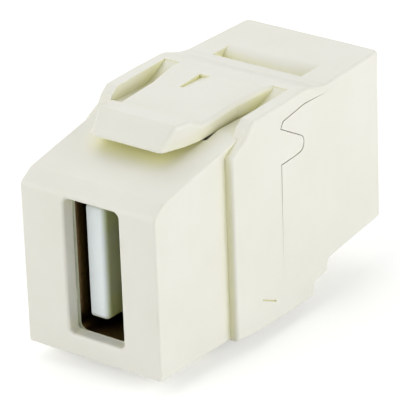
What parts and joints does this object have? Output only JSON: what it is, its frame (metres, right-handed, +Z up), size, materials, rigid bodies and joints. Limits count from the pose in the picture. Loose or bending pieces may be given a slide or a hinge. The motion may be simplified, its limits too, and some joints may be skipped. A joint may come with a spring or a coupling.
{
  "type": "usb keystone coupler",
  "caption": "Ivory snap-in keystone module that joins two upright USB sockets back to back, with a sloped nose, a cantilever latch on top, side shoulders and a tapered rear housing.",
  "frame": {"origin": "under the middle of the part's box, level with the bottom of the catch under the nose", "axes": "+Z up with the latch on top, +X to the right, -Y out of the front socket, +Y out of the rear socket"},
  "size_m": [0.016, 0.0324, 0.0215],
  "materials": {
    "housing": "moulded ABS, ivory, satin",
    "socket_shell": "nickel-plated steel sheet",
    "insulator": "moulded white insulator",
    "contact": "gold-plated copper alloy",
    "board": "glass-fibre laminate with green solder mask"
  },
  "bodies": {
    "root": {"front_housing": "housing", "rear_housing": "housing", "circuit_board": "board", "front_shell": "socket_shell", "rear_shell": "socket_shell", "front_insulator": "insulator", "rear_insulator": "insulator", "front_contact_1": "contact", "front_contact_2": "contact", "front_contact_3": "contact", "front_contact_4": "contact", "rear_contact_1": "contact", "rear_contact_2": "contact", "rear_contact_3": "contact", "rear_contact_4": "contact"}
  },
  "joints": []
}
